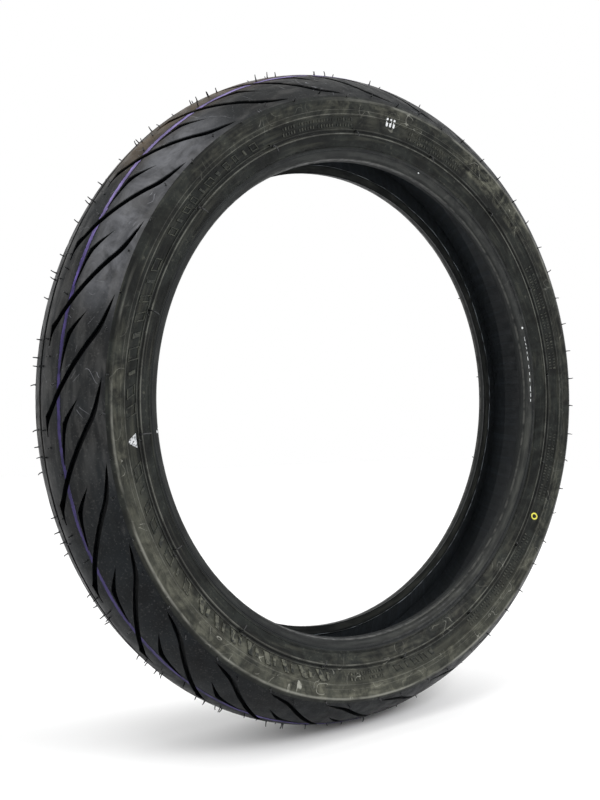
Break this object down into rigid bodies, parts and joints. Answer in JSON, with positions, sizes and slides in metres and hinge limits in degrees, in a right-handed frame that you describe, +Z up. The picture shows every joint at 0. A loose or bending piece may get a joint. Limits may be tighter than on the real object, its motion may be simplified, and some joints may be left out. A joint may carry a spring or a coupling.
{
  "type": "motorcycle tire",
  "caption": "Bare tubeless road tyre for a 17 inch motorcycle rim, with a rounded directional grooved tread, layered carcass, wire beads and vent hairs.",
  "frame": {"origin": "wheel centre: on the spin axis, midway between the two beads", "axes": "+Y along the wheel's spin axis towards the tyre's left side, +Z up, +X forward"},
  "size_m": [0.5998, 0.1078, 0.5999],
  "materials": {
    "tread_rubber": "satin",
    "sidewall_rubber": "satin",
    "chafer_rubber": "satin",
    "liner_rubber": "satin",
    "base_rubber": "matte",
    "ply_fabric": "matte",
    "bead_steel": "bronze coated",
    "violet_paint": "matte",
    "yellow_paint": "matte",
    "white_paint": "matte"
  },
  "bodies": {
    "root": {"tread_cap": "tread_rubber", "tread_base": "base_rubber", "breaker_ply_outer": "ply_fabric", "breaker_ply_inner": "ply_fabric", "carcass_ply_outer": "ply_fabric", "carcass_ply_turned_up": "ply_fabric", "inner_liner": "liner_rubber", "tread_vent_spews": "tread_rubber", "tread_colour_stripe": "violet_paint", "balance_mark": "yellow_paint", "inspection_mark": "white_paint", "sidewall_left": "sidewall_rubber", "shoulder_strip_left": "sidewall_rubber", "chafer_left": "chafer_rubber", "bead_core_rubber_left": "base_rubber", "bead_wires_left": "bead_steel", "bead_filler_left": "base_rubber", "bead_flipper_left": "ply_fabric", "sidewall_vent_spews_left": "sidewall_rubber", "sidewall_right": "sidewall_rubber", "shoulder_strip_right": "sidewall_rubber", "chafer_right": "chafer_rubber", "bead_core_rubber_right": "base_rubber", "bead_wires_right": "bead_steel", "bead_filler_right": "base_rubber", "bead_flipper_right": "ply_fabric", "sidewall_vent_spews_right": "sidewall_rubber"}
  },
  "joints": []
}
